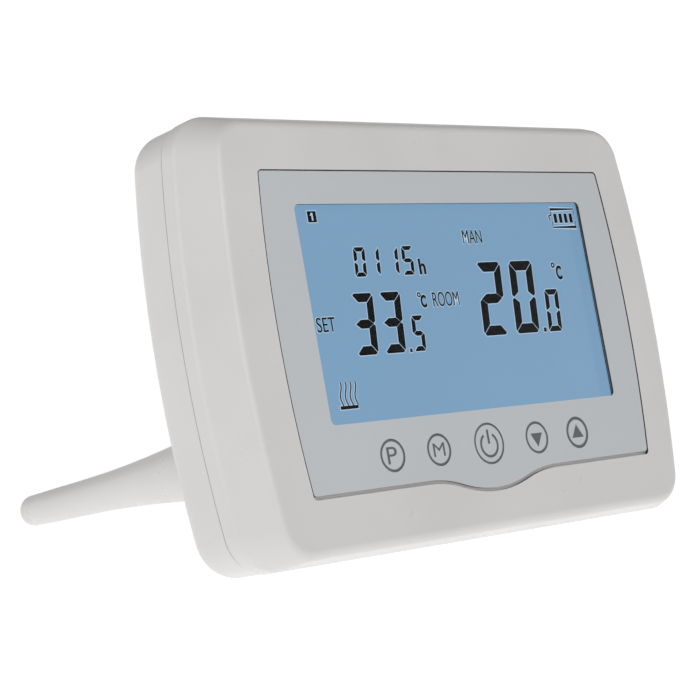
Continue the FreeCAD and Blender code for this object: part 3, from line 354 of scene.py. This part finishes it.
def ring(x, z, radius, width, start=0.0, end=360.0, steps=96):
    """A circle's line, or an arc of it, of the given outer radius."""
    whole = end - start >= 360
    count = steps if whole else steps + 1
    turns = [math.radians(start + (end - start) * i / steps) for i in range(count)]
    line = radius - width / 2
    return ribbon([(x + line * math.cos(t), z + line * math.sin(t)) for t in turns], width, whole)


def grown(polygon, by):
    """A convex polygon with every side moved outwards."""
    if not by:
        return list(polygon)
    area = sum(a[0] * b[1] - b[0] * a[1] for a, b in zip(polygon, polygon[1:] + polygon[:1]))
    turn = 1 if area > 0 else -1
    sides = []
    for a, b in zip(polygon, polygon[1:] + polygon[:1]):
        along = Vector((b[0] - a[0], b[1] - a[1])).normalized()
        away = Vector((along.y, -along.x)) * turn * by
        sides.append((Vector(a) + away, along))
    result = []
    for (p, d), (q, e) in zip(sides[-1:] + sides[:-1], sides):
        cross = d.x * e.y - d.y * e.x
        t = ((q.x - p.x) * e.y - (q.y - p.y) * e.x) / cross
        result.append(tuple(p + d * t))
    return result


def rectangle(x0, z0, x1, z1):
    """The corners of an upright rectangle between two opposite corners."""
    return [(x0, z0), (x1, z0), (x1, z1), (x0, z1)]


# Which of the seven segments are lit: a top, b and c right, d bottom, e and f left, g middle.
LIT = {"0": "abcdef", "1": "bc", "2": "abged", "3": "abgcd", "5": "afgcd"}
SLANT = 0.085  # how far a digit leans to the right for each millimetre of height
SEGMENT_GAP = 0.1


def slanted(points, base):
    """Points leaned to the right in proportion to their height above a base line."""
    return [(x + (z - base) * SLANT, z) for x, z in points]


def digit(character, x, z, wide, tall, stroke, grow):
    """The lit segments of one slanted seven-segment digit. Their mitred ends are cut in shares of s."""
    s, half, gap = stroke, tall / 2, SEGMENT_GAP
    notch = 0.12 * s
    level = [(0.37 * s, tall), (wide - 0.37 * s, tall), (wide - 0.22 * s + notch - gap, tall - 0.22 * s),
             (wide - s + notch - gap, tall - s), (s - notch + gap, tall - s),
             (0.22 * s - notch + gap, tall - 0.22 * s)]
    upright = [(0, tall - 0.33 * s - gap), (0, half + 0.2 * s + gap), (0.28 * s, half + gap),
               (s, half + 0.5 * s + gap), (s, tall - s - notch - gap),
               (0.12 * s, tall - 0.12 * s - notch - gap)]
    bar = [(0.2 * s + gap, half), (0.95 * s + gap, half + s / 2),
           (wide - 0.95 * s - gap, half + s / 2), (wide - 0.2 * s - gap, half),
           (wide - 0.95 * s - gap, half - s / 2), (0.95 * s + gap, half - s / 2)]

    def flip_x(points):
        return [(wide - px, pz) for px, pz in points]

    def flip_z(points):
        return [(px, tall - pz) for px, pz in points]

    shapes = {"a": level, "b": flip_x(upright), "c": flip_z(flip_x(upright)), "d": flip_z(level),
              "e": flip_z(upright), "f": upright, "g": bar}
    made = []
    for segment in LIT[character]:
        moved = [(px + x, pz + z) for px, pz in grown(shapes[segment], grow)]
        made.append(slanted(moved, z))
    return made


def lettering(text, low, high, weight=0.0, grow=0.0):
    """A word in the plain built-in typeface, drawn to fill a box."""
    curve = bpy.data.curves.new("lettering", "FONT")
    curve.body = text
    curve.offset = weight
    holder = bpy.data.objects.new("lettering", curve)
    bpy.context.scene.collection.objects.link(holder)
    bpy.context.view_layer.update()
    mesh = bpy.data.meshes.new_from_object(holder.evaluated_get(bpy.context.evaluated_depsgraph_get()))
    flat = np.array([v.co for v in mesh.vertices])[:, :2]
    origin, extent = flat.min(0), np.ptp(flat, axis=0)
    low, high = np.array(low) - grow, np.array(high) + grow
    fitted = low + (flat - origin) / extent * (high - low)
    faces = [[tuple(fitted[i]) for i in face.vertices] for face in mesh.polygons]
    bpy.data.objects.remove(holder)
    bpy.data.curves.remove(curve)
    bpy.data.meshes.remove(mesh)
    return faces


def printed(name, faces, origin, thick, body, finish):
    """One thin raised piece from flat shapes, standing on the surface at origin, that rides on a body."""
    shape = bmesh.new()
    for face in faces:
        corners = []
        for x, z in face:
            corners.append(shape.verts.new(TO_WORLD @ (origin + Vector((x * MM, 0, z * MM)))))
        shape.faces.new(corners)
    bmesh.ops.remove_doubles(shape, verts=shape.verts, dist=2e-7)
    base = list(shape.faces)
    raised = bmesh.ops.extrude_face_region(shape, geom=base, use_keep_orig=True)["geom"]
    tops = [v for v in raised if isinstance(v, bmesh.types.BMVert)]
    bmesh.ops.translate(shape, verts=tops, vec=-BACK * thick)
    bmesh.ops.recalc_face_normals(shape, faces=shape.faces)
    mesh = bpy.data.meshes.new(name)
    shape.to_mesh(mesh)
    shape.free()
    mesh.materials.append(finish)
    piece = bpy.data.objects.new(name, mesh)
    bpy.context.scene.collection.objects.link(piece)
    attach(piece, body)


# ---------------------------------------------------------------- what the display shows
lens_middle = middle_and_front("display_window")
glass_front = measured("lcd_panel")[0].y
DISPLAY = Vector((lens_middle.x, glass_front, lens_middle.z - 0.02 * MM))
HALO = 0.17  # how far the pale edge shows past the marks, in millimetres
BOLDER = 0.12  # extra weight of a word for each millimetre that it is grown
THICK, INK_THICK = 0.00002, 0.00003
INK_OFF, NUMBER_OFF = 0.00003, 0.00004  # the marks in front of the glass, the period number in front of them

NUMBERS = [  # characters, left edge of each, bottom, width, height, stroke
    ("20", (6.75, 16.85), -6.45, 7.35, 16.1, 2.15),
    ("0", (27.25,), -6.5, 4.35, 9.5, 1.25),
    ("33", (-30.45, -22.75), -8.6, 5.8, 12.75, 1.85),
    ("5", (-14.5,), -8.6, 3.35, 7.5, 1.05),
    ("0115", (-27.2, -23.3, -18.0, -13.7), 7.55, 3.15, 6.15, 0.9),
]
WORDS = [  # text, low corner, high corner, how much bolder
    ("SET", (-39.95, -3.4), (-34.95, -0.35), 0.004),
    ("ROOM", (-6.75, 0.5), (1.05, 3.65), 0.0),
    ("MAN", (5.5, 13.85), (11.4, 16.85), 0.0),
    ("h", (-9.05, 7.5), (-7.1, 10.95), 0.03),
    ("C", (-10.3, 0.45), (-8.6, 3.2), 0.045),
    ("C", (33.05, 5.05), (35.0, 8.3), 0.045),
]
DEGREE_RINGS = [(-10.5, 3.25, 0.55, 0.3), (32.4, 8.4, 0.64, 0.36)]
POINTS = [(-15.8, -8.7, -15.15, -7.9), (25.65, -6.45, 26.5, -5.5)]


PERIOD_BOX = rectangle(-37.35, 19.05, -35.05, 21.35)
PERIOD_NUMBER = [rectangle(-36.35, 19.4, -35.95, 21.0), [(-36.75, 20.45), (-36.35, 20.45), (-36.35, 21.0)]]


def display_shapes(grow):
    """Everything dark on the display, with its outlines moved outwards for the pale edge behind it."""
    shapes = []
    for characters, lefts, low, wide, tall, stroke in NUMBERS:
        for character, left in zip(characters, lefts):
            shapes += digit(character, left, low, wide, tall, stroke, grow)
    for text, low, high, weight in WORDS:
        shapes += lettering(text, low, high, weight + grow * BOLDER, grow)
    for x, z, radius, width in DEGREE_RINGS:
        shapes += ring(x, z, radius + grow, width + 2 * grow, steps=32)
    for corners in POINTS:
        shapes.append(grown(rectangle(*corners), grow))
    shapes += battery_icon(grow) + heating_icon(grow)
    shapes.append(grown(PERIOD_BOX, grow))
    return shapes


def battery_icon(grow):
    """A full battery: an open outline with its terminal to the left, and four bars."""
    left, right, low, high, line = 34.95, 42.7, 17.05, 21.2, 0.3
    bars, first_bar, pitch, bar_wide = 4, 35.75, 1.72, 1.02
    upper = [(left, 19.85), (left, high), (right, high), (right, 20.0)]
    lower = [(right, 18.4), (right, low), (left, low), (left, 18.35)]
    terminal = [(left, 19.85), (left - 0.75, 19.7), (left - 0.75, 18.75)]
    shapes = []
    for path in (upper, lower, terminal):
        shapes += ribbon(path, line + 2 * grow)
    for i in range(bars):
        start = first_bar + pitch * i
        shapes.append(grown(rectangle(start, 18.05, start + bar_wide, 20.2), grow))
    return shapes


def heating_icon(grow):
    """Four waves that rise from a bar."""
    waves, first_wave, pitch, top_of_bar, tall, line = 4, -36.65, 1.3, -18.4, 4.75, 0.3
    sway, turns, start, steps = 0.34, 0.95, 2.6, 16
    shapes = [grown(rectangle(-37.4, -19.1, -32.65, top_of_bar), grow)]
    for i in range(waves):
        foot = first_wave + pitch * i
        wave = []
        for step in range(steps + 1):
            t = step / steps
            wave.append((foot + sway * math.sin(2 * math.pi * t * turns + start), top_of_bar + tall * t))
        shapes += ribbon(wave, line + 2 * grow)
    return shapes


printed("display_halo", display_shapes(HALO), DISPLAY, THICK, "housing", lcd_halo)
ink_at = DISPLAY - Vector((0, INK_OFF, 0))
printed("display_marks", display_shapes(0), ink_at, INK_THICK, "housing", lcd_ink)
number_at = ink_at - Vector((0, NUMBER_OFF, 0))
printed("display_period_number", PERIOD_NUMBER, number_at, THICK, "housing", lcd_halo)


# ---------------------------------------------------------------- what the keys carry
RING_INSET = 0.03
RING_LINES = {"power": 0.36, "up": 0.55}
RING_LINE = 0.43


def key_marks(key):
    """The ring and sign of one key, in millimetres from the middle of its cap."""
    radius = cap_radius("key_" + key) - RING_INSET
    shapes = ring(0, 0, radius, RING_LINES.get(key, RING_LINE))
    if key == "program":
        shapes += lettering("P", (-1.5, -1.7), (1.25, 1.75), 0.0)
    elif key == "mode":
        shapes += lettering("M", (-1.65, -1.4), (1.65, 1.4), 0.0)
    elif key == "power":
        shapes += ring(0, -0.3, 2.7, 0.55, 122, 418)
        shapes.append(rectangle(-0.3, -0.05, 0.3, 2.95))
    elif key == "down":
        shapes.append([(-1.8, 0.95), (0, -2.0), (1.8, 0.95)])
    elif key == "up":
        shapes.append([(-1.85, -1.1), (1.85, -1.1), (0, 1.8)])
    return shapes


for key in KEYS:
    cap = "key_" + key
    printed("mark_" + key, key_marks(key), middle_and_front(cap), THICK, cap, print_grey)

# ---------------------------------------------------------------- floor, light and camera
FLOOR_HALF = 4.0
FLOOR_GREY = (0.45, 0.45, 0.45)
FLOOR_GLOW = 0.82
SKY = ((0.12, 1.03), (0.3, 0.36))  # height on the sky's dome and brightness, near the horizon and above
AIM = (0, 0, 0.05)  # all lights look at this point
SOFTBOXES = [  # name, place, width and height, watts
    ("front", (-0.26, -0.4, 0.26), (0.2, 0.35), 0.4),
    ("front_strip", (-0.1, -0.8, 0.2), (0.07, 0.8), 0.3),
    ("left_strip", (-0.75, 0.1, 0.28), (0.12, 0.7), 0.8),
]
CAMERA_AT = (-0.29535, -0.328767, 0.073384)
CAMERA_TURN, CAMERA_DOWN, CAMERA_ROLL = 42.218, 4.256, 0.344  # degrees
SENSOR, FOCAL_LENGTH = 36.0, 101.4  # millimetres


def make_floor():
    """A plain pale floor that glows a little, so that it stays white up to the horizon."""
    corners = [(x * FLOOR_HALF, y * FLOOR_HALF, 0) for x, y in ((-1, -1), (1, -1), (1, 1), (-1, 1))]
    mesh = bpy.data.meshes.new("floor")
    mesh.from_pydata(corners, [], [(0, 1, 2, 3)])
    floor = bpy.data.objects.new("floor", mesh)
    bpy.context.scene.collection.objects.link(floor)
    paint, _, _ = principled("studio_floor", FLOOR_GREY, 0.7, Emission_Strength=FLOOR_GLOW,
                             Specular_IOR_Level=0.1)
    mesh.materials.append(paint)


def make_world():
    """A pale studio all round: white near the horizon, softer above."""
    world = bpy.data.worlds.new("studio")
    bpy.context.scene.world = world
    world.use_nodes = True
    tree = world.node_tree
    where = tree.nodes.new("ShaderNodeTexCoord")
    parts = tree.nodes.new("ShaderNodeSeparateXYZ")
    tree.links.new(where.outputs["Generated"], parts.inputs["Vector"])
    ramp = tree.nodes.new("ShaderNodeValToRGB")
    for element, (at, value) in zip(ramp.color_ramp.elements, SKY):
        element.position = at
        element.color = (value, value, value, 1)
    tree.links.new(parts.outputs["Z"], ramp.inputs["Fac"])
    tree.links.new(ramp.outputs["Color"], tree.nodes["Background"].inputs["Color"])


def softbox(name, at, size, watts):
    """A rectangular light that the camera doesn't see."""
    light = bpy.data.lights.new(name, "AREA")
    light.shape = "RECTANGLE"
    light.size, light.size_y = size
    light.energy = watts
    lamp = bpy.data.objects.new(name, light)
    lamp.location = at
    lamp.rotation_mode = "QUATERNION"
    lamp.rotation_quaternion = (Vector(AIM) - Vector(at)).to_track_quat("-Z", "Y")
    lamp.visible_camera = False
    bpy.context.scene.collection.objects.link(lamp)


def make_camera():
    """A long lens from the front left, a little above the middle of the housing."""
    lens = bpy.data.cameras.new("camera")
    lens.sensor_width, lens.lens = SENSOR, FOCAL_LENGTH
    lens.clip_start, lens.clip_end = 0.01, 50
    camera = bpy.data.objects.new("camera", lens)
    bpy.context.scene.collection.objects.link(camera)
    bpy.context.scene.camera = camera
    turn, down, roll = (math.radians(angle) for angle in (CAMERA_TURN, CAMERA_DOWN, CAMERA_ROLL))
    ahead = Vector((math.sin(turn) * math.cos(down), math.cos(turn) * math.cos(down), -math.sin(down)))
    level = ahead.cross(Vector((0, 0, 1))).normalized()
    upward = level.cross(ahead)
    across = level * math.cos(roll) - upward * math.sin(roll)
    top = upward * math.cos(roll) + level * math.sin(roll)
    facing = Matrix((across, top, -ahead)).transposed().to_4x4()
    camera.matrix_world = Matrix.Translation(CAMERA_AT) @ facing


make_floor()
make_world()
for box in SOFTBOXES:
    softbox(*box)
make_camera()
bpy.context.scene.view_settings.view_transform = "Standard"
